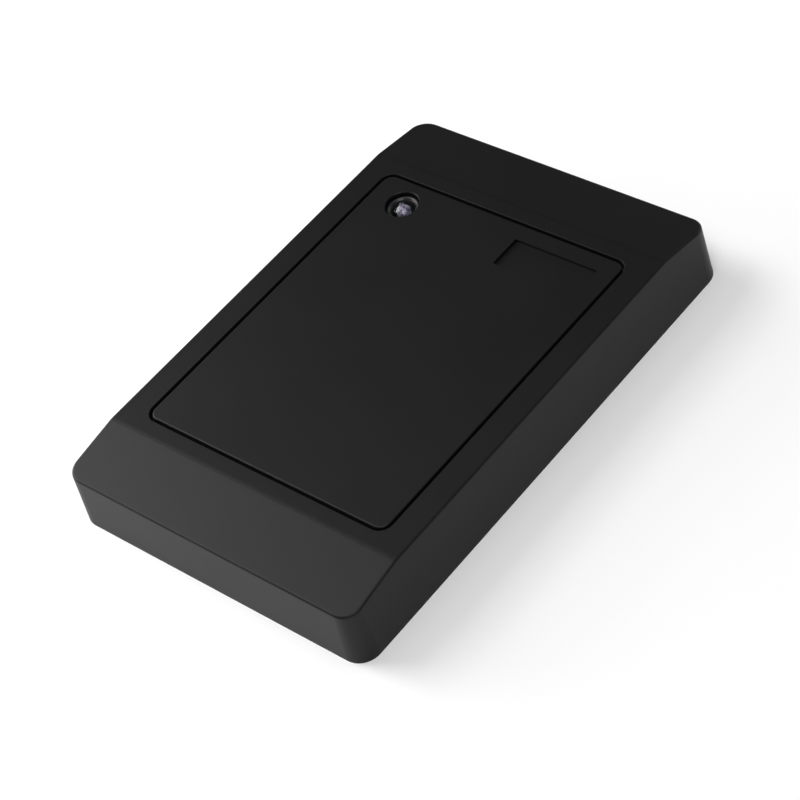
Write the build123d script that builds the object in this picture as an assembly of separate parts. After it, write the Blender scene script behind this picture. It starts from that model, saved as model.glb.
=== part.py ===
"""Wall-mounted RFID card reader: a flat black case with sloped ends and a snap-in faceplate.

All sizes are in millimetres. The origin is the centre of the back, on the wall plane.
+Z points out of the wall, through the face that cards are held to. +Y points up the wall,
towards the end with the status light, and +X points right for someone facing the reader.
"""

from build123d import *

import math
import os

# ---- driving dimensions ------------------------------------------------------------------

LENGTH = 115.0              # up the wall, at the back edge
WIDTH = 76.0                # across the wall, at the back edge
DEPTH = 15.0                # out of the wall, at the flat of the face
DRAFT = 2.7                 # degrees that every side wall leans in towards the front
CORNER_RADIUS = 4.4         # of the case's outline, at the back edge
SLOPE_START = 42.35         # distance from the middle where the face begins to slope
SLOPE_DROP = 2.4            # how far the face has dropped at the end walls
WALL = 2.2                  # thickness of the front and of the sloped ends

FACEPLATE_HALF = (30.72, 38.2)
FACEPLATE_RADIUS = 2.2
FACEPLATE_THICKNESS = 1.5
FACEPLATE_GROOVE = 0.7      # width of the open groove all round the faceplate
POCKET_FLOOR = 13.0         # height of the floor that the faceplate's skirt stands on

LED_SPOT = (-22.25, 32.1)
LED_WINDOW_RADIUS = 3.7
LABEL_CENTRE = (16.4, 30.6)
LABEL_SIZE = (20.6, 7.6)
LABEL_DEPTH = 0.65

WALL_SCREW_PITCH = 60.0     # the usual pitch of the screws of a round wall box
WALL_SCREW_HOLE_RADIUS = 2.1
WALL_SCREW_HEAD_RADIUS = 4.2
WALL_SCREW_SEAT = 9.6       # height of the shoulder that the screw's head pulls on

CABLE_SPOT = (0.0, -12.0)
CABLE_BORE_RADIUS = 2.8
GROMMET_RADIUS = 4.7        # where it passes through the back cover
GROMMET_FLANGE_RADIUS = 6.6
GROMMET_FLANGE_TOP = 1.4

BOARD_HALF = (27.8, 41.0)
BOARD_BACK = 4.0
BOARD_FRONT = 5.6

# ---- sizes worked out from those ---------------------------------------------------------

CEILING = POCKET_FLOOR - 1.8                 # underside of the pocket's floor
POCKET_HALF = tuple(half + FACEPLATE_GROOVE for half in FACEPLATE_HALF)
SLOPE_ANGLE = math.atan2(SLOPE_DROP, LENGTH / 2 - SLOPE_START)
SIDE_WALL = 2.8
CAVITY_HALF = (WIDTH / 2 - SIDE_WALL, LENGTH / 2 - SIDE_WALL)
REBATE_HALF = (WIDTH / 2 - 1.5, LENGTH / 2 - 1.5)
COVER_OUTSIDE = 0.4                          # the back cover sits this far in from the wall
COVER_INSIDE = 2.4
LEDGE = 3.0                                  # the step that the rear gasket is pressed on
COVER_HALF = tuple(half - 0.15 for half in REBATE_HALF)
END_STEP = 40.4                              # beyond this the ceiling follows the sloped end

COIL_INNER_HALF = (30.4, 42.95)
COIL_BAND = 3.0                              # width of the winding, seen from the front
COIL_BOTTOM, COIL_TOP = 8.4, 11.0
RIB_HALF = tuple(half - 0.15 for half in COIL_INNER_HALF)
RIB_THICKNESS = 1.2
SKIRT_THICKNESS = 1.4
BITE = 0.1                                   # how deep joined shapes reach into each other

COVER_SCREW_SPOTS = [(sx * 32.1, sy * 51.7) for sx in (-1, 1) for sy in (-1, 1)]
BOARD_SCREW_SPOTS = [(sx * 24.5, sy * 38.0) for sx in (-1, 1) for sy in (-1, 1)]
PRONG_SPOTS = [(sx * 26.5, sy * 22.0) for sx in (-1, 1) for sy in (-1, 1)]
WALL_SCREW_SPOTS = [(0.0, -WALL_SCREW_PITCH / 2), (0.0, WALL_SCREW_PITCH / 2)]

COVER_SCREW_RADIUS, COVER_SCREW_HEAD = 1.4, 2.7
COVER_SCREW_TOP = 0.6                        # its flat head lies this far in from the wall
BOARD_SCREW_RADIUS, BOARD_SCREW_HEAD = 1.0, 1.9
COVER_POST_RADIUS, BOARD_POST_RADIUS = 3.2, 2.4
WALL_BOSS_RADIUS, WALL_BOSS_HEAD_RADIUS = 3.8, 5.6
SCREW_SLACK = 0.02
PRONG_RADIUS = 1.3
PRONG_TIP = 9.2

LED_BASE = 5.8
LED_BODY_RADIUS = 2.5
LED_FLANGE_RADIUS = 2.9
LED_DOME_CENTRE = 12.1
LED_SLEEVE_RADIUS = 3.15
LED_COLLAR_RADIUS, LED_COLLAR_HEIGHT = 3.45, 1.1
LED_PIN_SIDE = 0.5
LED_PIN_PITCH = 1.27

# ---- shared shapes -----------------------------------------------------------------------


def slab(half, radius, low, high, taper=0.0):
    """A rounded rectangle of half sizes (x, y), from height low to height high."""
    outline = Pos(0, 0, low) * RectangleRounded(2 * half[0], 2 * half[1], radius)
    return extrude(outline, high - low, taper=taper)


def slab_at(spot, half, radius, low, high):
    return Pos(spot[0], spot[1], 0) * slab(half, radius, low, high)


def grown(half, amount):
    return (half[0] + amount, half[1] + amount)


def ring(outer_half, radius, width, low, high):
    """A rounded rectangular frame, width wide, inside the outline of outer_half."""
    inner = slab(grown(outer_half, -width), max(radius - width, 0.4), low - 1, high + 1)
    return slab(outer_half, radius, low, high) - inner


def post(spot, radius, low, high):
    """An upright round bar at (x, y)."""
    return Pos(spot[0], spot[1], (low + high) / 2) * Cylinder(radius, high - low)


def cone(spot, low_radius, high_radius, low, high):
    middle = (low + high) / 2
    return Pos(spot[0], spot[1], middle) * Cone(low_radius, high_radius, high - low)


def brick(spot, size, low, high):
    """An upright block centred on (x, y), of size (x, y)."""
    return Pos(spot[0], spot[1], (low + high) / 2) * Box(size[0], size[1], high - low)


def together(shapes):
    """One shape of many, joined where they touch."""
    shapes = list(shapes)
    return shapes[0] + shapes[1:] if len(shapes) > 1 else shapes[0]


def separate(shapes):
    """One node of many solids that stay apart."""
    return Compound(children=[solid for shape in shapes for solid in shape.solids()])


def side_profile(points, half_width):
    """A prism across the case, from points (y, z) of its outline seen from the side."""
    outline = make_face(Plane.YZ * Polyline(*points, close=True))
    return extrude(outline, half_width, both=True)


def front_height(y, depth_below=0.0):
    """Height of the front at distance y up the wall, or of the surface that lies under it."""
    beyond = max(abs(y) - SLOPE_START, 0.0)
    return DEPTH - beyond * math.tan(SLOPE_ANGLE) - depth_below


def save(name, shape):
    export_step(shape, os.path.join("parts", name + ".step"))


# ---- the casing --------------------------------------------------------------------------

RIDGE_FILLET = 6.0
FRONT_EDGE_FILLET = 0.55
POCKET_EDGE_FILLET = 0.1
FACEPLATE_EDGE_FILLET = 0.3


def outer_form():
    """The solid outside of the case: leaning walls, a flat face and two sloped ends."""
    block = slab((WIDTH / 2, LENGTH / 2), CORNER_RADIUS, 0, DEPTH, taper=DRAFT)
    far = LENGTH / 2 + 5
    roof = [(-far, front_height(far)), (-SLOPE_START, DEPTH), (SLOPE_START, DEPTH),
            (far, front_height(far))]
    form = block & side_profile([(-far, -1), *roof, (far, -1)], WIDTH)
    ridges = [e for e in form.edges().filter_by(Axis.X)
              if abs(e.center().Z - DEPTH) < 0.01]
    form = fillet(ridges, RIDGE_FILLET)

    lowest_rim = front_height(LENGTH / 2) - 0.3
    rim = [e for e in form.edges()
           if e.bounding_box().min.Z > lowest_rim
           and (abs(e.center().X) > 1 or abs(e.center().Y) > LENGTH / 2 - 5)]
    return fillet(rim, FRONT_EDGE_FILLET)


def cavity_form():
    """The space inside the case, above the ledge. Its ends follow the sloped front."""
    block = slab(CAVITY_HALF, CORNER_RADIUS - 2, LEDGE, DEPTH, taper=DRAFT)
    under_slope = WALL / math.cos(SLOPE_ANGLE)
    far = LENGTH / 2
    right_side = [(far, 0), (far, front_height(far, under_slope)),
                  (SLOPE_START, DEPTH - WALL), (END_STEP, DEPTH - WALL), (END_STEP, CEILING)]
    left_side = [(-y, z) for y, z in reversed(right_side)]
    return block & side_profile(right_side + left_side, WIDTH / 2)


def make_front_shell():
    shell = outer_form() - cavity_form()
    shell -= slab(REBATE_HALF, CORNER_RADIUS - 1.5, -1, LEDGE)

    under_pocket = POCKET_FLOOR - BITE
    inside = [ring(RIB_HALF, 2.85, RIB_THICKNESS, COIL_BOTTOM + 0.2, under_pocket)]
    for spot in COVER_SCREW_SPOTS:
        inside.append(post(spot, COVER_POST_RADIUS, LEDGE, POCKET_FLOOR - 0.8))
    for spot in BOARD_SCREW_SPOTS:
        inside.append(post(spot, BOARD_POST_RADIUS, BOARD_FRONT, under_pocket))
    for spot in WALL_SCREW_SPOTS:
        inside.append(post(spot, WALL_BOSS_HEAD_RADIUS, WALL_SCREW_SEAT - 2.0, under_pocket))
        inside.append(post(spot, WALL_BOSS_RADIUS, 0, WALL_SCREW_SEAT))
    shell += inside

    pocket = slab(POCKET_HALF, FACEPLATE_RADIUS + FACEPLATE_GROOVE, POCKET_FLOOR, DEPTH + 1)
    shell -= pocket
    pocket_rim = [e for e in shell.edges()
                  if abs(e.bounding_box().min.Z - DEPTH) < 0.01
                  and abs(e.center().X) < POCKET_HALF[0] + 0.1
                  and abs(e.center().Y) < POCKET_HALF[1] + 0.1]
    shell = fillet(pocket_rim, POCKET_EDGE_FILLET)

    holes = [post(LED_SPOT, LED_SLEEVE_RADIUS + 0.05, 0, DEPTH)]
    # The coil's two lead-out wires cross the rib through this notch.
    holes.append(brick(COIL_NOTCH, (8.0, 4.0), COIL_BOTTOM - 1, COIL_TOP))
    holes += [post(spot, PRONG_RADIUS + 0.1, CEILING - 1, DEPTH) for spot in PRONG_SPOTS]
    for spot in WALL_SCREW_SPOTS:
        holes.append(post(spot, WALL_SCREW_HOLE_RADIUS, -1, DEPTH))
        holes.append(post(spot, WALL_SCREW_HEAD_RADIUS, WALL_SCREW_SEAT, DEPTH))
    for spot in COVER_SCREW_SPOTS:
        holes.append(post(spot, COVER_SCREW_RADIUS + SCREW_SLACK, 0, 9.5))
    for spot in BOARD_SCREW_SPOTS:
        holes.append(post(spot, BOARD_SCREW_RADIUS + SCREW_SLACK, 0, 11.0))
    return shell - holes


def make_faceplate():
    """The snap-in plate: a flat front, a skirt and ribs behind it, and four split prongs."""
    back = DEPTH - FACEPLATE_THICKNESS
    plate = slab(FACEPLATE_HALF, FACEPLATE_RADIUS, back, DEPTH)
    plate = fillet(plate.faces().sort_by(Axis.Z)[-1].edges(), FACEPLATE_EDGE_FILLET)

    rib_low, rib_high = POCKET_FLOOR + 0.1, back + BITE
    rib_reach = [2 * half - 2 for half in FACEPLATE_HALF]
    skirt = ring(FACEPLATE_HALF, FACEPLATE_RADIUS, SKIRT_THICKNESS, POCKET_FLOOR, rib_high)
    stiffening = [skirt]
    for x in (-10.0, 10.0):
        stiffening.append(brick((x, 0), (RIB_THICKNESS, rib_reach[1]), rib_low, rib_high))
    for y in (-22.0, 0.0, 22.0):
        stiffening.append(brick((0, y), (rib_reach[0], RIB_THICKNESS), rib_low, rib_high))
    stiffening.append(post(LED_SPOT, LED_WINDOW_RADIUS + RIB_THICKNESS, rib_low, rib_high))
    for spot in PRONG_SPOTS:
        slot = brick(spot, (0.6, 4 * PRONG_RADIUS), PRONG_TIP - 1, PRONG_TIP + 3.2)
        peg = post(spot, PRONG_RADIUS, PRONG_TIP + 0.6, rib_high)
        peg += cone(spot, PRONG_RADIUS - 0.5, PRONG_RADIUS, PRONG_TIP, PRONG_TIP + 0.6)
        stiffening.append(peg - slot)
    plate += stiffening

    plate -= cone(LED_SPOT, LED_WINDOW_RADIUS, LED_WINDOW_RADIUS + 0.12, DEPTH - 0.12, DEPTH)
    plate -= post(LED_SPOT, LED_WINDOW_RADIUS, 0, DEPTH + 1)
    recess = Pos(*LABEL_CENTRE, DEPTH - LABEL_DEPTH) * RectangleRounded(*LABEL_SIZE, 0.4)
    return plate - extrude(recess, LABEL_DEPTH + 1)


def make_back_cover():
    """The plate that closes the case from behind, with a step in it for the cable's grommet."""
    cover = slab(COVER_HALF, CORNER_RADIUS - 1.65, COVER_OUTSIDE, COVER_INSIDE)
    face = COVER_INSIDE - BITE
    added = [post(spot, 3.0, face, LEDGE) for spot in COVER_SCREW_SPOTS]
    spigot_x, spigot_y = CAVITY_HALF[0] - 0.75, CAVITY_HALF[1] - 0.75
    for side in (-1, 1):
        added.append(brick((side * spigot_x, 0), (RIB_THICKNESS, 88.0), face, 3.6))
        added.append(brick((0, side * spigot_y), (48.0, RIB_THICKNESS), face, 3.6))
        # Stiffening ribs, low enough to clear the solder on the board's back.
        added.append(brick((side * 14.0, 0), (RIB_THICKNESS, 100.0), face, 2.7))
    cover += added

    cut = [post(CABLE_SPOT, GROMMET_FLANGE_RADIUS + 0.6, 0, GROMMET_FLANGE_TOP)]
    cut.append(post(CABLE_SPOT, GROMMET_RADIUS + 0.05, 0, LEDGE))
    cut += [post(spot, WALL_BOSS_RADIUS + 0.2, 0, LEDGE) for spot in WALL_SCREW_SPOTS]
    for spot in COVER_SCREW_SPOTS:
        cut.append(post(spot, COVER_SCREW_RADIUS + 0.2, 0, LEDGE + 1))
        cut.append(post(spot, COVER_SCREW_HEAD + 0.1, 0, COVER_SCREW_TOP))
        cut.append(cone(spot, COVER_SCREW_HEAD, COVER_SCREW_RADIUS, COVER_SCREW_TOP, 2.0))
    # A shallow field for the rating label.
    cut.append(brick(RATING_LABEL_CENTRE, grown(RATING_LABEL_SIZE, 0.6), 0, 0.6))
    return cover - cut


def make_rear_gasket():
    return ring(grown(REBATE_HALF, -0.1), CORNER_RADIUS - 1.6, 1.0, COVER_INSIDE, LEDGE)


def make_cable_grommet():
    """A rubber ring that grips the thin step of the back cover; the cable passes through."""
    low, high = 0.3, 3.6
    body = post(CABLE_SPOT, GROMMET_RADIUS, low, high)
    body += post(CABLE_SPOT, GROMMET_FLANGE_RADIUS, low, GROMMET_FLANGE_TOP)
    body += cone(CABLE_SPOT, 6.2, 5.4, COVER_INSIDE, high)
    return body - post(CABLE_SPOT, CABLE_BORE_RADIUS, 0, 5)


# ---- fasteners ---------------------------------------------------------------------------


def cross_recess(spot, low, depth, reach):
    """The cross slot of a screw whose head faces down, cut upwards from height low."""
    slots = []
    for turn in (0, 90):
        slot = Box(2 * reach, 0.28 * reach, 2 * depth)
        slots.append(Pos(spot[0], spot[1], low) * Rot(0, 0, turn + 45) * slot)
    return together(slots)


def cover_screw(spot):
    """A countersunk self-tapping screw, driven from the back."""
    head = cone(spot, COVER_SCREW_HEAD, COVER_SCREW_RADIUS, COVER_SCREW_TOP, 2.0)
    shank = post(spot, COVER_SCREW_RADIUS, 1.9, 8.2)
    tip = cone(spot, COVER_SCREW_RADIUS, 0.6, 8.2, 9.2)
    return head + shank + tip - cross_recess(spot, COVER_SCREW_TOP, 0.9, 1.5)


def board_screw(spot):
    """A pan-head screw that holds the circuit board to a post of the case."""
    head = post(spot, BOARD_SCREW_HEAD, BOARD_BACK - 1.2, BOARD_BACK)
    head = fillet(head.edges().sort_by(Axis.Z)[0], 0.5)
    shank = post(spot, BOARD_SCREW_RADIUS, BOARD_BACK - 0.1, 10.0)
    tip = cone(spot, BOARD_SCREW_RADIUS, 0.4, 10.0, 10.7)
    return head + shank + tip - cross_recess(spot, BOARD_BACK - 1.2, 0.7, 1.1)


# ---- the antenna -------------------------------------------------------------------------

COIL_NOTCH = (-8.0, RIB_HALF[1] - RIB_THICKNESS / 2)
COIL_LEAD_X = (-9.5, -6.5)
COIL_LEAD_RADIUS = 0.25
COIL_LEAD_BEND = 1.0
COIL_LEAD_HEIGHT = 9.2
TAPE = 0.12


def make_antenna_coil():
    outer = grown(COIL_INNER_HALF, COIL_BAND)
    coil = ring(outer, 6.0, COIL_BAND, COIL_BOTTOM, COIL_TOP)
    rims = [e for e in coil.edges() if abs(e.bounding_box().size.Z) < 0.01]
    return fillet(rims, 0.7)


def make_coil_tape_wraps():
    """Four bands of tape that keep the winding's turns together."""
    wraps = []
    middle_x = COIL_INNER_HALF[0] + COIL_BAND / 2
    middle_y = COIL_INNER_HALF[1] + COIL_BAND / 2
    low, high = COIL_BOTTOM - TAPE, COIL_TOP + TAPE
    across = COIL_BAND + 2 * TAPE
    for side in (-1, 1):
        on_long = brick((side * middle_x, 8.0), (across, 7.0), low, high)
        on_long -= brick((side * middle_x, 8.0), (COIL_BAND, 8.0), COIL_BOTTOM, COIL_TOP)
        on_short = brick((14.0, side * middle_y), (7.0, across), low, high)
        on_short -= brick((14.0, side * middle_y), (8.0, COIL_BAND), COIL_BOTTOM, COIL_TOP)
        wraps += [on_long, on_short]
    return separate(wraps)


def make_coil_leads():
    """The two ends of the winding, bent down to their pads on the circuit board."""
    leads = []
    for x, pad in coil_pad_spots():
        start, corner = (x, COIL_INNER_HALF[1], COIL_LEAD_HEIGHT), (x, pad, COIL_LEAD_HEIGHT)
        path = FilletPolyline(start, corner, (x, pad, BOARD_FRONT), radius=COIL_LEAD_BEND)
        section = Plane(origin=start, z_dir=(0, -1, 0)) * Circle(COIL_LEAD_RADIUS)
        leads.append(sweep(section, path))
    return separate(leads)


def make_coil_glue_beads():
    """Beads of hot-melt glue between the winding and the wall of the case."""
    beads = []
    wall_gap = COIL_INNER_HALF[0] + COIL_BAND
    for side in (-1, 1):
        for y in (-30.0, 30.0):
            bead = Pos(side * (wall_gap + 0.35), y, 9.6) * Sphere(2.0)
            bead &= brick((side * (wall_gap + 0.55), y), (1.1, 6.0), 8.0, 11.0)
            beads.append(bead)
    return separate(beads)


# ---- the status light --------------------------------------------------------------------


def led_pin_spots():
    return [(LED_SPOT[0] + step * LED_PIN_PITCH, LED_SPOT[1]) for step in (-1, 0, 1)]


def make_led_leads():
    """Three pins, and the posts inside the lens: a cup for the chips and one anvil each side."""
    parts = []
    for index, spot in enumerate(led_pin_spots()):
        pin = brick(spot, (LED_PIN_SIDE, LED_PIN_SIDE), BOARD_BACK - 1.0, 9.0)
        if index == 1:
            pin += cone(spot, 0.45, 0.95, 8.6, 9.9) - cone(spot, 0.35, 0.8, 9.4, 9.91)
        else:
            inward = LED_SPOT[0] - spot[0]
            pin += brick((spot[0] - 0.15 * inward, spot[1]), (0.6, 1.2), 8.4, 9.7)
        parts.append(pin)
    return separate(parts)


def make_led_lens(leads):
    """The clear 5 mm lens: a flange with one flat side, a barrel and a dome."""
    flange = post(LED_SPOT, LED_FLANGE_RADIUS, LED_BASE, LED_BASE + 1.0)
    flat_side = (LED_SPOT[0] + LED_BODY_RADIUS + 1.0, LED_SPOT[1])
    flange -= brick(flat_side, (2.0, 8.0), LED_BASE - 1, LED_BASE + 2)
    barrel = post(LED_SPOT, LED_BODY_RADIUS, LED_BASE, LED_DOME_CENTRE)
    dome = Pos(*LED_SPOT, LED_DOME_CENTRE) * Sphere(LED_BODY_RADIUS)
    return flange + barrel + dome - leads


def make_led_bezel():
    """A satin collar in the pocket's floor that holds the lens upright. Its top is dished."""
    top = POCKET_FLOOR + LED_COLLAR_HEIGHT
    sleeve = post(LED_SPOT, LED_SLEEVE_RADIUS, CEILING, POCKET_FLOOR + BITE)
    collar = post(LED_SPOT, LED_COLLAR_RADIUS, POCKET_FLOOR, top)
    collar = fillet(collar.edges().sort_by(Axis.Z)[-1], 0.25)
    bore = post(LED_SPOT, LED_BODY_RADIUS + 0.05, 0, DEPTH)
    dish = cone(LED_SPOT, LED_BODY_RADIUS + 0.1, LED_COLLAR_RADIUS - 0.35, top - 0.4, top + 0.01)
    return sleeve + collar - bore - dish


# ---- the circuit board and what is soldered to it ----------------------------------------

MICROCONTROLLER_SPOT = (-11.0, 11.0)
READER_CHIP_SPOT = (12.5, 13.0)
CRYSTAL_SPOT = (-13.0, 21.0)
REGULATOR_SPOT = (18.5, -12.5)
BUZZER_SPOT = (-15.5, -25.5)
HEADER_SPOT = (0.0, 0.5)
HEADER_PINS, HEADER_PITCH = 8, 2.0
CAPACITOR_SPOTS = [(18.0, -26.0), (10.5, -21.5)]
DIODE_SPOT = (17.5, -3.0)
TRANSISTOR_SPOTS = [(-21.0, -6.0), (-21.0, -12.0), (-14.0, -12.0)]
CHIP_SIZE = (2.0, 1.25)
CHIP_TERMINAL = 0.4
RESISTOR_SPOTS = [(x, 34.0) for x in (7.0, 11.0, 15.0, 19.0)]
RESISTOR_SPOTS += [(x, 0.5) for x in (-24.0, -20.0, -16.0)]
RESISTOR_SPOTS += [(23.5, y) for y in (0.0, 4.0)]
CERAMIC_SPOTS = [(x, 30.0) for x in (7.5, 11.5, 15.5, 19.5)]
CERAMIC_SPOTS += [(x, 21.5) for x in (6.5, 10.5, 14.5)]


def header_pin_spots():
    first = HEADER_SPOT[0] - HEADER_PITCH * (HEADER_PINS - 1) / 2
    return [(first + HEADER_PITCH * i, HEADER_SPOT[1] + 2.4) for i in range(HEADER_PINS)]


def buzzer_pin_spots():
    return [(BUZZER_SPOT[0] + dx, BUZZER_SPOT[1]) for dx in (-3.25, 3.25)]


def coil_pad_spots():
    return [(x, BOARD_HALF[1] - 2.5) for x in COIL_LEAD_X]


def make_circuit_board():
    board = slab(BOARD_HALF, 1.5, BOARD_BACK, BOARD_FRONT)
    low, high = BOARD_BACK - 1, BOARD_FRONT + 1
    holes = [post(spot, WALL_BOSS_RADIUS + 0.3, low, high) for spot in WALL_SCREW_SPOTS]
    holes.append(post(CABLE_SPOT, GROMMET_FLANGE_RADIUS + 0.6, low, high))
    holes += [post(spot, BOARD_SCREW_RADIUS + 0.2, low, high) for spot in BOARD_SCREW_SPOTS]
    pins = led_pin_spots() + header_pin_spots() + buzzer_pin_spots()
    holes += [post(spot, 0.45, low, high) for spot in pins]
    return board - holes


def make_solder_joints():
    """Cones of solder round each pin on the back of the board, and a pad at each coil end."""
    joints = []
    for spot in led_pin_spots() + header_pin_spots() + buzzer_pin_spots():
        joint = cone(spot, 0.42, 0.6, BOARD_BACK - 0.7, BOARD_BACK)
        joints.append(joint - brick(spot, (0.5, 0.5), 0, BOARD_FRONT))
    for spot in coil_pad_spots():
        dab = cone(spot, 0.8, 0.45, BOARD_FRONT, BOARD_FRONT + 0.8)
        joints.append(dab - post(spot, COIL_LEAD_RADIUS, 0, DEPTH))
    return separate(joints)


def chip_package(spot, size, height, pins, pitch=1.27, reach=1.05):
    """(body, pins) of a surface-mounted chip whose pins stand along its two long sides."""
    low = BOARD_FRONT + 0.12
    body = brick(spot, size, low, BOARD_FRONT + height)
    body = chamfer(body.faces().sort_by(Axis.Z)[-1].edges(), 0.25)
    mark = (spot[0] - size[0] / 2 + 1.0, spot[1] - size[1] / 2 + 1.0)
    body -= post(mark, 0.4, BOARD_FRONT + height - 0.12, DEPTH)

    shoulder = BOARD_FRONT + height * 0.5
    edge = size[1] / 2
    outline = [(edge, shoulder), (edge + 0.35 * reach, shoulder),
               (edge + 0.5 * reach, BOARD_FRONT), (edge + reach, BOARD_FRONT),
               (edge + reach, BOARD_FRONT + 0.2), (edge + 0.64 * reach, BOARD_FRONT + 0.2),
               (edge + 0.5 * reach, shoulder + 0.2), (edge, shoulder + 0.2)]
    first = spot[0] - pitch * (pins / 2 - 1) / 2
    legs = []
    for side in (-1, 1):
        points = [(spot[1] + side * y, z) for y, z in outline]
        for column in range(pins // 2):
            legs.append(Pos(first + pitch * column, 0, 0) * side_profile(points, 0.2))
    return body, separate(legs)


def make_crystal():
    can = slab_at(CRYSTAL_SPOT, (5.2, 2.1), 2.0, BOARD_FRONT + 0.4, BOARD_FRONT + 3.5)
    can = fillet(can.faces().sort_by(Axis.Z)[-1].edges(), 0.4)
    return can + slab_at(CRYSTAL_SPOT, (5.6, 2.4), 2.2, BOARD_FRONT, BOARD_FRONT + 0.4)


def make_voltage_regulator():
    """(body, metal) of a power package: a block on a heat tab, with two legs."""
    x, y = REGULATOR_SPOT
    body = brick((x, y), (6.6, 6.1), BOARD_FRONT + 0.5, BOARD_FRONT + 2.3)
    body = chamfer(body.faces().sort_by(Axis.Z)[-1].edges(), 0.3)
    metal = [brick((x, y + 1.0), (5.4, 6.2), BOARD_FRONT, BOARD_FRONT + 0.5)]
    for side in (-1, 1):
        metal.append(brick((x + side * 2.3, y - 4.2), (0.7, 2.2), BOARD_FRONT, BOARD_FRONT + 0.5))
    return body, separate(metal)


def make_electrolytic_capacitors():
    """(cans, bases) of the supply capacitors."""
    cans, bases = [], []
    for spot in CAPACITOR_SPOTS:
        can = post(spot, 3.1, BOARD_FRONT + 0.8, BOARD_FRONT + 5.2)
        cans.append(fillet(can.edges().sort_by(Axis.Z)[-1], 0.35))
        base = brick(spot, (6.6, 6.6), BOARD_FRONT, BOARD_FRONT + 0.8)
        uprights = base.edges().filter_by(Axis.Z).sort_by(Axis.X)[-2:]
        bases.append(chamfer(uprights, 1.2))
    return separate(cans), separate(bases)


def make_buzzer():
    """(case, pins) of the round sounder, with its sound hole in the top."""
    case = post(BUZZER_SPOT, 6.0, BOARD_FRONT, BOARD_FRONT + 5.0)
    case = fillet(case.edges().sort_by(Axis.Z)[-1], 0.5)
    case -= post(BUZZER_SPOT, 1.1, BOARD_FRONT + 3.5, DEPTH)
    pin_size = (LED_PIN_SIDE, LED_PIN_SIDE)
    pins = [brick(spot, pin_size, BOARD_BACK - 1.0, BOARD_FRONT) for spot in buzzer_pin_spots()]
    return case, separate(pins)


def make_wire_header():
    """(housing, pins) of the socket that the wall cable's plug pushes into."""
    x, y = HEADER_SPOT
    half_width = HEADER_PITCH * HEADER_PINS / 2 + 1.0
    low, high = BOARD_FRONT, BOARD_FRONT + 4.8
    housing = brick((x, y), (2 * half_width, 6.8), low, high)
    housing -= brick((x, y - 1.6), (2 * half_width - 1.6, 5.6), low + 0.9, high - 0.9)
    housing -= brick((x, y - 3.0), (6.0, 4.0), high - 1.0, high + 1)
    pins = []
    for spot in header_pin_spots():
        tail = brick(spot, (LED_PIN_SIDE, LED_PIN_SIDE), BOARD_BACK - 1.0, low + 2.65)
        blade = brick((spot[0], spot[1] - 2.25), (LED_PIN_SIDE, 5.0), low + 2.15, low + 2.65)
        pins.append(tail + blade)
    metal = separate(pins)
    return housing - pins, metal


def make_chips(spots, height):
    """(bodies, end caps) of small two-ended parts such as resistors."""
    bodies, caps = [], []
    length, width = CHIP_SIZE
    for x, y in spots:
        bodies.append(brick((x, y), (length - 2 * CHIP_TERMINAL, width), BOARD_FRONT,
                            BOARD_FRONT + height))
        for side in (-1, 1):
            middle = x + side * (length - CHIP_TERMINAL) / 2
            caps.append(brick((middle, y), (CHIP_TERMINAL, width), BOARD_FRONT,
                              BOARD_FRONT + height))
    return separate(bodies), caps


def make_transistors():
    """(bodies, legs) of the three-legged drivers for the light and the sounder."""
    bodies, legs = [], []
    for x, y in TRANSISTOR_SPOTS:
        body = brick((x, y), (2.9, 1.3), BOARD_FRONT + 0.1, BOARD_FRONT + 1.0)
        bodies.append(chamfer(body.faces().sort_by(Axis.Z)[-1].edges(), 0.15))
        for dx, side in ((-0.95, -1), (0.95, -1), (0.0, 1)):
            legs.append(brick((x + dx, y + side * 0.95), (0.45, 0.6), BOARD_FRONT,
                              BOARD_FRONT + 0.25))
    return separate(bodies), separate(legs)


def make_protection_diode():
    """(body, tabs) of the diode against a reversed supply."""
    x, y = DIODE_SPOT
    body = brick((x, y), (4.3, 2.6), BOARD_FRONT + 0.1, BOARD_FRONT + 2.1)
    body = chamfer(body.faces().sort_by(Axis.Z)[-1].edges(), 0.25)
    tabs = [brick((x + side * 2.5, y), (0.7, 1.5), BOARD_FRONT, BOARD_FRONT + 1.1)
            for side in (-1, 1)]
    return body, separate(tabs)


# ---- the label on the back ---------------------------------------------------------------

RATING_LABEL_CENTRE = (0.0, 11.0)
RATING_LABEL_SIZE = (44.0, 22.0)


def make_rating_label():
    """A blank self-adhesive label in its shallow field on the back cover."""
    half = (RATING_LABEL_SIZE[0] / 2, RATING_LABEL_SIZE[1] / 2)
    return slab_at(RATING_LABEL_CENTRE, half, 1.0, 0.5, 0.6)


# ---- the whole reader --------------------------------------------------------------------


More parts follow.
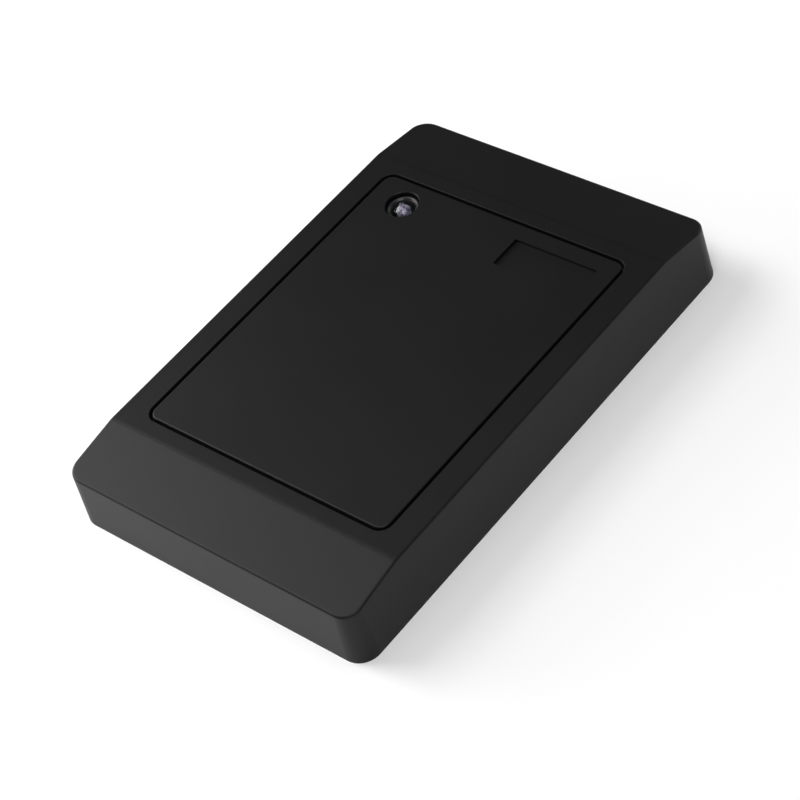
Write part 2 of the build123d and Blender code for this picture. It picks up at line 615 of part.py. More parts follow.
def main():
    os.makedirs("parts", exist_ok=True)
    save("front_shell", make_front_shell())
    save("faceplate", make_faceplate())
    save("back_cover", make_back_cover())
    save("rear_gasket", make_rear_gasket())
    save("cable_grommet", make_cable_grommet())
    save("rating_label", make_rating_label())
    save("cover_screws", separate(cover_screw(spot) for spot in COVER_SCREW_SPOTS))
    save("board_screws", separate(board_screw(spot) for spot in BOARD_SCREW_SPOTS))

    save("antenna_coil", make_antenna_coil())
    save("coil_tape_wraps", make_coil_tape_wraps())
    save("coil_leads", make_coil_leads())
    save("coil_glue_beads", make_coil_glue_beads())

    led_leads = make_led_leads()
    save("led_leads", led_leads)
    save("led_lens", make_led_lens(led_leads))
    save("led_bezel", make_led_bezel())

    save("circuit_board", make_circuit_board())
    save("solder_joints", make_solder_joints())
    save("crystal", make_crystal())

    pairs = {
        ("microcontroller", "microcontroller_pins"):
            chip_package(MICROCONTROLLER_SPOT, (12.8, 7.5), 2.4, 20),
        ("reader_chip", "reader_chip_pins"):
            chip_package(READER_CHIP_SPOT, (9.9, 3.9), 1.6, 16),
        ("voltage_regulator", "regulator_tab"): make_voltage_regulator(),
        ("capacitor_cans", "capacitor_bases"): make_electrolytic_capacitors(),
        ("buzzer", "buzzer_pins"): make_buzzer(),
        ("wire_header", "wire_header_pins"): make_wire_header(),
        ("driver_transistors", "transistor_legs"): make_transistors(),
        ("protection_diode", "diode_tabs"): make_protection_diode(),
    }
    for names, shapes in pairs.items():
        for name, shape in zip(names, shapes):
            save(name, shape)

    resistors, resistor_caps = make_chips(RESISTOR_SPOTS, 0.5)
    ceramics, ceramic_caps = make_chips(CERAMIC_SPOTS, 0.9)
    save("chip_resistors", resistors)
    save("chip_capacitors", ceramics)
    save("chip_end_caps", separate(resistor_caps + ceramic_caps))


main()
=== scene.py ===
"""Looks for the wall-mounted RFID card reader: materials, finer pieces, camera, floor and light."""

import math

import bpy
from mathutils import Matrix, Vector


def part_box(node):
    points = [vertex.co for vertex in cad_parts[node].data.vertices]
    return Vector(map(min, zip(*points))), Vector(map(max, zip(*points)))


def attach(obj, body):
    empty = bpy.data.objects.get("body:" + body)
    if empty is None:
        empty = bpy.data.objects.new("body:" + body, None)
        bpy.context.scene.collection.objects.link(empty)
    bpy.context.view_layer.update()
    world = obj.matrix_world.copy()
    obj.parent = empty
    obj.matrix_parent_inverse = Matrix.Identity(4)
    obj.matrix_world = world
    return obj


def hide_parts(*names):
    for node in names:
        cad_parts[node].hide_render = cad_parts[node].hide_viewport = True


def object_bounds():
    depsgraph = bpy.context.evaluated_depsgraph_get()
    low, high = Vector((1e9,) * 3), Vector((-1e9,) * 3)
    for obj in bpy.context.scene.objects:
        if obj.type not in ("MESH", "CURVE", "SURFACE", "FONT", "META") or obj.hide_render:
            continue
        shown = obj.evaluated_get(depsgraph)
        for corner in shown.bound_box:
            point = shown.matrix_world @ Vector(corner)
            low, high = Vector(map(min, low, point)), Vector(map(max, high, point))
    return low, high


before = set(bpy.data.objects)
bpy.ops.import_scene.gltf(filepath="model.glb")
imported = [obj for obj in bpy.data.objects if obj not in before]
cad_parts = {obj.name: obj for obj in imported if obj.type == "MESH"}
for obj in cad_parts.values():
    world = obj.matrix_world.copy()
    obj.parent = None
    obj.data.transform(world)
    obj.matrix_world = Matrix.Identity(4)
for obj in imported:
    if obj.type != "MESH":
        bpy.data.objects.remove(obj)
cad_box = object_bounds()
MM = 0.001

# ---- node helpers ------------------------------------------------------------------------


def shade(colour, factor):
    return tuple(min(c * factor, 1.0) for c in colour)


class Nodes:
    """A material's node tree, with short calls for the nodes that this scene uses."""

    def __init__(self, name):
        self.material = bpy.data.materials.new(name)
        self.material.use_nodes = True
        self.tree = self.material.node_tree
        self.shader = self.tree.nodes["Principled BSDF"]
        self.place = self.tree.nodes.new("ShaderNodeTexCoord").outputs["Object"]

    def add(self, kind, values=None, **properties):
        node = self.tree.nodes.new(kind)
        for key, value in properties.items():
            setattr(node, key, value)
        for key, value in (values or {}).items():
            self.feed(node.inputs[key], value)
        return node

    def feed(self, socket, value):
        if isinstance(value, bpy.types.NodeSocket):
            self.tree.links.new(value, socket)
        else:
            socket.default_value = value

    def set(self, **values):
        for key, value in values.items():
            self.feed(self.shader.inputs[key.replace("_", " ")], value)

    def stretched(self, factors):
        """The place, scaled along each axis, so that a texture is drawn out where a factor is small."""
        values = {"Vector": self.place, "Scale": factors}
        return self.add("ShaderNodeMapping", values).outputs["Vector"]

    def noise(self, size, detail=3.0, roughness=0.5, place=None):
        """Noise whose features are about size millimetres across."""
        values = {"Vector": place or self.place, "Scale": 1 / (size * MM),
                  "Detail": detail, "Roughness": roughness}
        return self.add("ShaderNodeTexNoise", values).outputs["Fac"]

    def cells(self, size):
        values = {"Vector": self.place, "Scale": 1 / (size * MM)}
        return self.add("ShaderNodeTexVoronoi", values).outputs["Distance"]

    def math(self, operation, a, b=0.0):
        return self.add("ShaderNodeMath", {0: a, 1: b}, operation=operation).outputs[0]

    def remap(self, value, low, high, to_low=0.0, to_high=1.0):
        values = {"Value": value, "From Min": low, "From Max": high,
                  "To Min": to_low, "To Max": to_high}
        return self.add("ShaderNodeMapRange", values).outputs[0]

    def mix(self, share, a, b):
        node = self.add("ShaderNodeMix", {0: share, 6: (*a, 1.0), 7: (*b, 1.0)}, data_type="RGBA")
        return node.outputs[2]

    def bump(self, height, depth):
        """A bump whose full height is depth millimetres."""
        values = {"Height": height, "Distance": depth * MM, "Strength": 1.0}
        return self.add("ShaderNodeBump", values).outputs["Normal"]


# ---- kinds of material -------------------------------------------------------------------


def moulded_plastic(name, colour, roughness, grain=0.25, depth=0.006):
    """Spark-textured ABS: a fine even grain, and barely uneven gloss."""
    n = Nodes(name)
    n.set(Specular_IOR_Level=0.25)
    fine = n.noise(grain, detail=2.0, roughness=0.6)
    coarse = n.noise(grain * 3.2, detail=1.0)
    height = n.math("ADD", fine, n.math("MULTIPLY", coarse, 0.5))
    clouds = n.noise(18.0, detail=2.0)
    speckle = n.math("ADD", n.math("MULTIPLY", clouds, 0.4), n.math("MULTIPLY", fine, 0.6))
    n.set(Base_Color=n.mix(n.remap(speckle, 0.3, 0.7), shade(colour, 0.88), shade(colour, 1.12)),
          Roughness=n.remap(clouds, 0.25, 0.75, roughness - 0.012, roughness + 0.012),
          Normal=n.bump(height, depth))
    return n.material


def plain(name, colour, roughness, size=2.0, spread=0.12, depth=0.004, **uniform):
    """A material with a mottled colour, uneven gloss and a shallow grain."""
    n = Nodes(name)
    mottle = n.noise(size, detail=4.0)
    n.set(Base_Color=n.mix(mottle, shade(colour, 1 - spread), shade(colour, 1 + spread)),
          Roughness=n.remap(mottle, 0.3, 0.7, roughness * 0.85, roughness * 1.15),
          Normal=n.bump(n.noise(size * 0.3), depth), **uniform)
    return n.material


def brushed(name, colour, roughness, stretch, size=0.12):
    """Metal with fine drawing lines along the axis in which stretch is small."""
    n = Nodes(name)
    lines = n.noise(size, detail=3.0, place=n.stretched(stretch))
    stain = n.noise(1.8, detail=3.0)
    both = n.math("ADD", n.math("MULTIPLY", lines, 0.6), n.math("MULTIPLY", stain, 0.4))
    n.set(Base_Color=n.mix(n.remap(both, 0.3, 0.7), shade(colour, 0.86), shade(colour, 1.08)),
          Metallic=1.0, Roughness=n.remap(lines, 0.3, 0.7, roughness * 0.8, roughness * 1.25),
          Normal=n.bump(lines, 0.002))
    return n.material


def foam(name, colour):
    """Closed-cell foam: small round dimples with a skin between them, the dimples painted darker as
    painted shade.
    """
    n = Nodes(name)
    cells = n.cells(0.35)
    # The colour follows the dimple depth: painted shade, darker in each hollow.
    n.set(Base_Color=n.mix(n.remap(cells, 0.0, 0.6), shade(colour, 0.55), shade(colour, 1.2)),
          Roughness=n.remap(cells, 0.0, 0.6, 0.95, 0.8), Normal=n.bump(cells, 0.06))
    return n.material


def laminate(name, colour):
    """Solder mask over woven glass: the weave shows as a faint grid under a glossy coat."""
    n = Nodes(name)
    threads = []
    for axis in ("X", "Y"):
        values = {"Vector": n.place, "Scale": 0.314 / (0.7 * MM), "Distortion": 0.3}
        wave = n.add("ShaderNodeTexWave", values, bands_direction=axis)
        threads.append(wave.outputs["Fac"])
    weave = n.math("MULTIPLY", *threads)
    blotch = n.math("ADD", n.math("MULTIPLY", weave, 0.3), n.math("MULTIPLY", n.noise(6.0), 0.7))
    n.set(Base_Color=n.mix(blotch, shade(colour, 0.8), shade(colour, 1.25)), Coat_Weight=0.6,
          Coat_Roughness=0.12, Roughness=n.remap(weave, 0.0, 1.0, 0.38, 0.5),
          Normal=n.bump(weave, 0.004))
    return n.material


def translucent(name, colour, roughness, share, ior=1.48, size=1.5, depth=0.01):
    """A see-through film, glue or resin with some haze in it."""
    n = Nodes(name)
    haze = n.noise(size, detail=3.0)
    n.set(Base_Color=n.mix(haze, shade(colour, 0.9), shade(colour, 1.08)),
          Transmission_Weight=share, IOR=ior, Normal=n.bump(n.noise(size * 0.4), depth),
          Roughness=n.remap(haze, 0.3, 0.7, roughness * 0.7, roughness * 1.3))
    return n.material


def enamelled_wire(name, colour):
    """Copper under clear enamel, with small changes of colour from turn to turn."""
    n = Nodes(name)
    turns = n.noise(0.35, detail=2.0, place=n.stretched((1.0, 1.0, 4.0)))
    n.set(Base_Color=n.mix(turns, shade(colour, 0.7), shade(colour, 1.2)), Metallic=0.9,
          Coat_Weight=0.5, Coat_Roughness=0.15, Roughness=n.remap(turns, 0.3, 0.7, 0.24, 0.38),
          Normal=n.bump(turns, 0.004))
    return n.material


def milky(name, colour, painted_glow):
    """Milky resin, cloudier in places, with a painted glow: emission, brighter in the cloudier patches,
    that stands in for light reaching it through the lens.
    """
    n = Nodes(name)
    haze = n.remap(n.noise(0.5, detail=2.0), 0.38, 0.62, 0.0, 1.0)
    # Emission here is painted light: a glow standing in for light that reaches the resin through the
    # lens.
    n.set(Base_Color=n.mix(haze, shade(colour, 0.4), shade(colour, 1.5)), IOR=1.5,
          Roughness=n.remap(haze, 0.0, 1.0, 0.3, 0.5), Emission_Strength=painted_glow,
          Emission_Color=n.mix(haze, shade(colour, 0.5), shade(colour, 1.4)))
    return n.material


def paint(name, material):
    """Gives a CAD node this material in each of its slots."""
    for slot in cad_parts[name].material_slots:
        slot.material = material


# ---- materials of the CAD nodes ----------------------------------------------------------

case = moulded_plastic("case_plastic", (0.0040, 0.0040, 0.0044), 0.45)
copper = enamelled_wire("copper_wire", (0.62, 0.20, 0.07))
chip = plain("chip_epoxy", (0.020, 0.020, 0.021), 0.62, size=0.4, depth=0.012)
tin = brushed("tinned_pins", (0.74, 0.74, 0.72), 0.28, (1.0, 0.2, 1.0))
steel = brushed("screw_steel", (0.60, 0.61, 0.62), 0.30, (1.0, 1.0, 0.15))

materials = {
    "front_shell": case,
    "faceplate": case,
    "back_cover": moulded_plastic("cover_plastic", (0.0060, 0.0060, 0.0064), 0.55, grain=0.4,
                                  depth=0.012),
    "rear_gasket": foam("gasket_foam", (0.030, 0.030, 0.032)),
    "cable_grommet": plain("grommet_rubber", (0.014, 0.014, 0.015), 0.68, size=0.5, depth=0.02,
                           Specular_IOR_Level=0.35),
    "rating_label": plain("label_film", (0.58, 0.59, 0.60), 0.32, size=0.25, spread=0.05,
                          Metallic=0.35),
    "cover_screws": steel,
    "board_screws": steel,
    "antenna_coil": copper,
    "coil_leads": copper,
    "coil_tape_wraps": translucent("coil_tape", (0.85, 0.42, 0.06), 0.18, 0.55, depth=0.02),
    "coil_glue_beads": translucent("glue", (0.86, 0.83, 0.72), 0.25, 0.35, size=1.0, depth=0.05),
    "led_leads": brushed("led_frame", (0.80, 0.79, 0.76), 0.22, (1.0, 1.0, 0.2)),
    "circuit_board": laminate("board_laminate", (0.010, 0.115, 0.045)),
    "solder_joints": plain("solder", (0.76, 0.77, 0.78), 0.20, size=0.5, spread=0.15, depth=0.02,
                           Metallic=1.0),
    "crystal": brushed("can_steel", (0.70, 0.69, 0.66), 0.24, (0.15, 1.0, 1.0)),
    "capacitor_cans": brushed("can_aluminium", (0.80, 0.81, 0.82), 0.30, (1.0, 1.0, 0.15)),
    "capacitor_bases": plain("base_plastic", (0.018, 0.018, 0.018), 0.60, size=0.5, depth=0.01),
    "buzzer": plain("buzzer_plastic", (0.016, 0.016, 0.017), 0.48, size=0.4, depth=0.012),
    "wire_header": plain("header_plastic", (0.74, 0.71, 0.62), 0.42, size=0.8, spread=0.05),
    "chip_resistors": plain("resistor_ceramic", (0.018, 0.018, 0.020), 0.30, size=0.3),
    "chip_capacitors": plain("capacitor_ceramic", (0.42, 0.28, 0.17), 0.48, size=0.25),
}
for node in ("microcontroller_pins", "reader_chip_pins", "regulator_tab", "buzzer_pins",
             "wire_header_pins", "transistor_legs", "diode_tabs", "chip_end_caps"):
    materials[node] = tin
for node in ("microcontroller", "reader_chip", "voltage_regulator", "driver_transistors",
             "protection_diode"):
    materials[node] = chip
for node, material in materials.items():
    paint(node, material)

# ---- mesh helpers, in millimetres --------------------------------------------------------


def box_of(node):
    """(lowest corner, highest corner, middle) of a CAD node, in millimetres."""
    low, high = (Vector(corner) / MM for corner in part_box(node))
    return low, high, (low + high) / 2


def add_piece(name, shape, material, body="reader", replaces=(), sharp=40):
    """A new piece from (vertices, faces). It is smooth, but for edges sharper than that angle."""
    vertices, faces = shape
    mesh = bpy.data.meshes.new(name)
    mesh.from_pydata([tuple(c * MM for c in v) for v in vertices], [], faces)
    mesh.shade_smooth()
    mesh.set_sharp_from_angle(angle=math.radians(sharp))
    mesh.materials.append(material)
    piece = bpy.data.objects.new(name, mesh)
    bpy.context.scene.collection.objects.link(piece)
    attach(piece, body)
    if replaces:
        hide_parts(*replaces)
    return piece


def joined(shapes):
    """One (vertices, faces) of many."""
    vertices, faces = [], []
    for more_vertices, more_faces in shapes:
        start = len(vertices)
        vertices += more_vertices
        faces += [tuple(start + i for i in face) for face in more_faces]
    return vertices, faces


def lathe(profile, spot, sides=96, closed=False, swell=None):
    """A (radius, height) profile, listed upwards on its outside, turned about the line at spot.

    swell(angle, height) is added to the radius, as for a screw's thread.
    """
    vertices, rows = [], []
    for radius, height in profile:
        start, count = len(vertices), 1 if radius == 0 else sides
        for i in range(count):
            angle = 2 * math.pi * i / sides
            reach = radius + swell(angle, height) if swell and radius else radius
            vertices.append((spot[0] + reach * math.cos(angle),
                             spot[1] + reach * math.sin(angle), height))
        rows.append([start + i % count for i in range(sides + 1)])
    faces = []
    pairs = list(zip(rows, rows[1:] + rows[:1])) if closed else list(zip(rows, rows[1:]))
    for low, high in pairs:
        for i in range(sides):
            corners = dict.fromkeys((low[i], low[i + 1], high[i + 1], high[i]))
            if len(corners) > 2:
                faces.append(tuple(corners))
    return vertices, faces


def arc(centre, radius, start, end, steps):
    """Points on an arc, from one angle to the other in degrees."""
    angles = [math.radians(start + (end - start) * i / steps) for i in range(steps + 1)]
    return [(centre[0] + radius * math.cos(a), centre[1] + radius * math.sin(a)) for a in angles]


def tube(path, radius, sides=8):
    """A round wire along 3-D points, with closed ends."""
    points = [Vector(p) for p in path]
    vertices, faces = [], []
    for i, point in enumerate(points):
        along = (points[min(i + 1, len(points) - 1)] - points[max(i - 1, 0)]).normalized()
        side = along.cross(Vector((0.31, 0.95, 0.05))).normalized()
        up = along.cross(side)
        for k in range(sides):
            angle = 2 * math.pi * k / sides
            vertices.append(tuple(point + radius * (math.cos(angle) * side + math.sin(angle) * up)))
    for i in range(len(points) - 1):
        for k in range(sides):
            a, b = i * sides + k, i * sides + (k + 1) % sides
            faces.append((a, b, b + sides, a + sides))
    last = (len(points) - 1) * sides
    faces.append(tuple(reversed(range(sides))))
    faces.append(tuple(range(last, last + sides)))
    return vertices, faces


def prism(outline, low, high):
    """An upright prism on a flat outline that runs anticlockwise."""
    count = len(outline)
    vertices = [(x, y, z) for z in (low, high) for x, y in outline]
    faces = [(i, (i + 1) % count, count + (i + 1) % count, count + i) for i in range(count)]
    return vertices, faces + [tuple(reversed(range(count))), tuple(range(count, 2 * count))]


def rectangle(spot, size):
    x, y, dx, dy = *spot, size[0] / 2, size[1] / 2
    return [(x - dx, y - dy), (x + dx, y - dy), (x + dx, y + dy), (x - dx, y + dy)]


def solid_spots(node):
    """The middle (x, y) of each separate solid in a CAD node, in millimetres, left to right."""
    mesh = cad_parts[node].data
    parent = list(range(len(mesh.vertices)))

    def root(i):
        while parent[i] != i:
            parent[i] = parent[parent[i]]
            i = parent[i]
        return i

    for edge in mesh.edges:
        a, b = (root(i) for i in edge.vertices)
        parent[a] = b
    by_place = {}
    for vertex in mesh.vertices:
        key = tuple(round(c / MM, 3) for c in vertex.co)
        other = by_place.setdefault(key, vertex.index)
        parent[root(vertex.index)] = root(other)
    groups = {}
    for vertex in mesh.vertices:
        groups.setdefault(root(vertex.index), []).append(vertex.co / MM)
    spots = []
    for points in groups.values():
        xs, ys = [p.x for p in points], [p.y for p in points]
        spots.append(((min(xs) + max(xs)) / 2, (min(ys) + max(ys)) / 2))
    return sorted((round(x, 2), round(y, 2)) for x, y in spots)


# ---- the status light --------------------------------------------------------------------

_, _, light = box_of("led_bezel")


def make_lens():
    """The clear 5 mm lens, with a rounded flange that has one flat side."""
    low, high, _ = box_of("led_lens")
    radius, flange = 2.5, 2.9
    centre = high.z - radius
    profile = [(0, low.z)] + arc((flange - 0.15, low.z + 0.15), 0.15, -90, 0, 4)
    profile += arc((flange - 0.15, low.z + 0.85), 0.15, 0, 90, 4)
    profile += [(radius + 0.05, low.z + 1.0), (radius, low.z + 1.06)]
    profile += arc((0, centre), radius, 0, 89, 28) + [(0, high.z)]
    vertices, faces = lathe(profile, light)
    flat = light.x + radius
    vertices = [(min(x, flat), y, z) for x, y, z in vertices]
    material = translucent("led_epoxy", (0.97, 0.95, 1.0), 0.015, 1.0, ior=1.53, depth=0.0005)
    add_piece("status_light_lens", (vertices, faces), material, replaces=["led_lens"])


def make_lens_core():
    """The milky middle of the lens, over the chips in the cup below it; its glow is painted light,
    standing in for light that reaches it through the lens.
    """
    _, high, _ = box_of("led_lens")
    radius, centre = 1.1, high.z - 1.75
    profile = [(0, centre - 2.6), (0.6, centre - 2.55), (0.8, centre - 1.6), (1.0, centre - 0.7)]
    profile += arc((0, centre), radius, 0, 86, 14) + [(0, centre + radius)]
    # The 0.08 is the strength of the core's painted glow.
    core_resin_with_painted_glow = milky("light_core", (0.31, 0.28, 0.41), 0.08)
    add_piece("status_light_core", lathe(profile, light, 64), core_resin_with_painted_glow)


def make_chips_in_cup():
    """Two light-emitting chips in the cup, each with a gold wire to the post beside it."""
    cup_floor, die_top, steps = 9.42, 9.6, 10
    dies, wires = [], []
    for side in (-1, 1):
        x, y = light.x + side * 0.28, light.y
        dies.append(prism(rectangle((x, y), (0.26, 0.26)), cup_floor, die_top))
        reach, arch = side * 0.85, []
        for t in (i / steps for i in range(steps + 1)):
            arch.append((x + reach * t, y, die_top + 0.12 * t + 1.1 * t * (1 - t)))
        wires.append(tube(arch, 0.02))
    crystal = plain("die_crystal", (0.35, 0.10, 0.10), 0.2, size=0.1)
    add_piece("status_light_dies", joined(dies), crystal)
    gold = brushed("bond_gold", (0.95, 0.66, 0.24), 0.2, (0.2, 1.0, 1.0), size=0.03)
    add_piece("status_light_bond_wires", joined(wires), gold)


def make_collar():
    """The satin collar round the lens: a sleeve, a rounded rim and a dished top."""
    low, high, _ = box_of("led_bezel")
    sleeve, rim, bore = 3.15, 3.45, 2.56
    profile = [(bore, low.z)] + arc((sleeve - 0.1, low.z + 0.1), 0.1, -90, 0, 3)
    profile += [(sleeve, high.z - 1.1), (rim, high.z - 1.1)]
    profile += arc((rim - 0.22, high.z - 0.22), 0.22, 0, 90, 6)
    profile += [(rim - 0.34, high.z - 0.02), (2.9, high.z - 0.16), (2.7, high.z - 0.34)]
    profile += [(bore + 0.02, high.z - 0.5), (bore, high.z - 0.6)]
    satin = plain("bezel_plastic", (0.022, 0.022, 0.024), 0.26, size=0.8, spread=0.06, depth=0.002,
                  Specular_IOR_Level=0.24)
    add_piece("status_light_collar", lathe(profile, light, closed=True), satin,
              replaces=["led_bezel"])


make_lens()
make_lens_core()
make_chips_in_cup()
make_collar()

# ---- the antenna coil --------------------------------------------------------------------


def winding_outline(width, height, wire):
    """The outline (out, up) of a bundle of wires packed in a rectangle, one bump for each wire."""
    across, upright = round(width / wire), round(height / wire)
    dx, dz, outline = width / across, height / upright, []

    def bumps(count, start, step, turn):
        for i in range(count):
            middle = (start[0] + step[0] * (i + 0.5), start[1] + step[1] * (i + 0.5))
            outline.extend(arc(middle, wire / 2, turn - 72, turn + 72, 4))

    inset = wire / 2
    bumps(across - 1, (dx / 2, inset), (dx, 0), -90)
    bumps(upright - 1, (width - inset, dz / 2), (0, dz), 0)
    bumps(across - 1, (width - dx / 2, height - inset), (-dx, 0), 90)
    bumps(upright - 1, (inset, height - dz / 2), (0, -dz), 180)
    return outline


def rounded_path(half, radius, corner_steps, spacing):
    """(point, outward direction) all round a rounded rectangle, close together on its sides too."""
    path = []
    centres = [(1, 1, 0), (-1, 1, 90), (-1, -1, 180), (1, -1, 270)]
    corners = []
    for sx, sy, start in centres:
        centre = Vector((sx * (half[0] - radius), sy * (half[1] - radius)))
        for i in range(corner_steps + 1):
            angle = math.radians(start + 90 * i / corner_steps)
            outward = Vector((math.cos(angle), math.sin(angle)))
            corners.append((centre + radius * outward, outward))
    for index, (point, outward) in enumerate(corners):
        path.append((point, outward))
        following = corners[(index + 1) % len(corners)][0]
        gap = (following - point).length
        steps = max(int(gap / spacing), 1)
        if (index + 1) % (corner_steps + 1) == 0:
            path += [(point.lerp(following, k / steps), outward) for k in range(1, steps)]
    return path


def make_coil():
    """The antenna as wound: the outer turns show as ridges that waver a little along the way."""
    low, high, _ = box_of("antenna_coil")
    band, slack = 3.0, 0.05
    outline = winding_outline(band - 2 * slack, high.z - low.z - 2 * slack, 0.34)
    half = (high.x - band, high.y - band)
    path = rounded_path(half, 3.0, 10, 2.5)
    vertices, faces, count = [], [], len(outline)
    for step, (point, outward) in enumerate(path):
        for index, (out, up) in enumerate(outline):
            waver = 0.03 * math.sin(step * 0.9 + index * 0.37) * math.sin(step * 0.23 + index * 0.11)
            place = point + outward * (out + slack + waver)
            vertices.append((place.x, place.y, low.z + slack + up + waver * 0.8))
    for step in range(len(path)):
        here, there = step * count, (step + 1) % len(path) * count
        for k in range(count):
            faces.append((here + k, here + (k + 1) % count, there + (k + 1) % count, there + k))
    add_piece("antenna_winding", (vertices, faces), copper,
              replaces=["antenna_coil"], sharp=75)


make_coil()

# ---- screws ------------------------------------------------------------------------------


def cut_from(shape, cutter):
    """The first (vertices, faces) with the second cut out of it."""
    made = []
    for vertices, faces in (shape, cutter):
        mesh = bpy.data.meshes.new("cut")
        mesh.from_pydata(vertices, [], faces)
        made.append(bpy.data.objects.new("cut", mesh))
        bpy.context.scene.collection.objects.link(made[-1])
    modifier = made[0].modifiers.new("cut", "BOOLEAN")
    modifier.object, modifier.solver = made[1], "EXACT"
    view = bpy.context.evaluated_depsgraph_get()
    result = made[0].evaluated_get(view).to_mesh()
    cut = ([tuple(v.co) for v in result.vertices], [tuple(f.vertices) for f in result.polygons])
    for item in made:
        bpy.data.objects.remove(item)
    return cut


def cross_cutter(low, depth, reach):
    """A tapered cross, as a Phillips driver leaves, cut upwards from height low."""
    half, corner = 0.17 * reach, 0.34 * reach
    quarter = [(reach, -half), (reach, half), (corner, corner)]
    outline = []
    for turn in range(4):
        c, s = round(math.cos(turn * math.pi / 2)), round(math.sin(turn * math.pi / 2))
        outline += [(x * c - y * s, x * s + y * c) for x, y in quarter]
    vertices, faces = prism(outline, low - 0.1, low + depth)
    count = len(outline)
    return [(x, y, z) if i < count else (x * 0.4, y * 0.4, z)
            for i, (x, y, z) in enumerate(vertices)], faces


def threaded_screw(head, start, end, radius, pitch, recess):
    """A self-tapping screw that points up: a head profile, then a thread, then a point."""
    root, rows = radius * 0.74, int((end - start) / (pitch / 8))
    shank = [(root, start + (end - start) * i / rows) for i in range(rows + 1)]
    point = [(root * 0.75, end + 0.35), (root * 0.35, end + 0.8), (0, end + 0.95)]

    def thread(angle, height):
        if not start < height < end + 0.4:
            return 0.0
        phase = (height / pitch - angle / (2 * math.pi)) % 1
        fade = min((height - start) / pitch, 1.0)
        return (radius - root) * fade * max(1 - abs(phase - 0.5) / 0.27, 0.0)

    body = lathe(head + shank + point, (0, 0), 32, swell=thread)
    return cut_from(body, cross_cutter(*recess))


def place_screws(name, node, screw):
    vertices, faces = screw
    placed = [([(x + spot[0], y + spot[1], z) for x, y, z in vertices], faces)
              for spot in solid_spots(node)]
    add_piece(name, joined(placed), steel, replaces=[node], sharp=35)


def make_screws():
    low = box_of("cover_screws")[0].z
    head = [(0, low), (2.6, low), (2.68, low + 0.06), (2.68, low + 0.12), (1.3, low + 1.5)]
    screw = threaded_screw(head, low + 1.7, low + 7.6, 1.38, 1.15, (low, 0.9, 1.55))
    place_screws("cover_screw_set", "cover_screws", screw)

    low = box_of("board_screws")[0].z
    head = [(0, low), (1.4, low)] + arc((1.4, low + 0.48), 0.48, -80, 0, 6)
    head += [(1.88, low + 1.18), (0.9, low + 1.18)]
    screw = threaded_screw(head, low + 1.3, low + 6.9, 0.98, 0.85, (low, 0.75, 1.15))
    place_screws("board_screw_set", "board_screws", screw)


# ---- printed and etched detail -----------------------------------------------------------

board_low, board_high, _ = box_of("circuit_board")


def ribbon(points, width, low, high):
    """A flat strip along 2-D points, with mitred bends."""
    left, right = [], []
    points = [Vector(p) for p in points]
    for i, point in enumerate(points):
        before = (point - points[i - 1]).normalized() if i else None
        after = (points[i + 1] - point).normalized() if i + 1 < len(points) else None
        along = ((before or after) + (after or before)).normalized()
        side = Vector((-along.y, along.x))
        reach = width / 2 / max(along.dot(before or after), 0.5)
        left.append(point + side * reach)
        right.append(point - side * reach)
    return prism([tuple(p) for p in right + left[::-1]], low, high)


def bent(start, end):
    """A route between two pads in board style: straight, then at 45 degrees, then straight."""
    (x0, y0), (x1, y1) = start, end
    run_x, run_y = x1 - x0, y1 - y0
    slant = min(abs(run_x), abs(run_y))
    step = (math.copysign(slant, run_x), math.copysign(slant, run_y))
    if abs(run_x) > abs(run_y):
        first = (x0 + (run_x - step[0]) / 2, y0)
    else:
        first = (x0, y0 + (run_y - step[1]) / 2)
    second = (first[0] + step[0], first[1] + step[1])
    route = [start, first, second, end]
    kept = [route[0]]
    for point in route[1:]:
        if math.dist(point, kept[-1]) > 0.05:
            kept.append(point)
    return kept


def pin_rows(chip):
    """The spots of a chip's pins: those on its lower side, then those on its upper side."""
    middle, spots = box_of(chip)[2].y, solid_spots(chip + "_pins")
    return [p for p in spots if p[1] < middle], [p for p in spots if p[1] > middle]


def header_feet():
    """Where the pins of the wire header pass through the board."""
    return [(x, y + 2.4) for x, y in solid_spots("wire_header_pins")]


def radio_stubs():
    """(pin, via) for every other lower pin of the reader chip."""
    return [((x, y), (x - 0.4, y - 2.6)) for x, y in pin_rows("reader_chip")[0][::2]]


def front_routes():
    """Tracks on the front: between the chips and the small parts, to the light and to the coil."""
    lower_logic, upper_logic = pin_rows("microcontroller")
    upper_radio = pin_rows("reader_chip")[1]
    resistors, transistors = solid_spots("chip_resistors"), solid_spots("driver_transistors")
    ceramics = [p for p in solid_spots("chip_capacitors") if p[1] > 25]
    diode, regulator = box_of("protection_diode")[2], box_of("voltage_regulator")[2]

    pairs = list(zip(header_feet(), lower_logic))
    pairs += zip(upper_radio[2:], ceramics)
    pairs += zip(ceramics, [p for p in resistors if p[1] > 30])
    pairs += radio_stubs()
    pairs.append(((diode.x, diode.y - 1.2), (regulator.x, regulator.y + 3.4)))
    pairs += zip(transistors, [p for p in resistors if p[0] < -10])
    routes = [bent(a, b) for a, b in pairs]

    for (x, y), foot in zip(upper_logic, (light.x - 1.27, light.x, light.x + 1.27)):
        routes.append([(x, y), (x, y + 1.0), (foot, y + 1.0 + x - foot), (foot, light.y - 1.0)])
    pad = board_high.y - 2.5
    routes.append([(-6.5, pad), (-6.5, 22.5), (-1.6, 17.6), (upper_radio[1][0], 17.6),
                   upper_radio[1]])
    routes.append([(-9.5, pad), (-9.5, 36.0), (-7.3, 33.8), (-7.3, 22.2), (-1.9, 16.8),
                   (upper_radio[0][0], 16.8), upper_radio[0]])
    return routes


def back_routes():
    """Tracks on the back: from each pin of the header, round the cable's hole, to a via."""
    routes = []
    for x, y in header_feet():
        lane = math.copysign(9.0 + 0.9 * (abs(x) - 1) / 2, x)
        foot = -30.0 - abs(x) / 2
        routes.append([(x, y - 0.2), (x, 1.5), (lane, 1.5 - abs(lane - x)), (lane, foot)])
    return routes


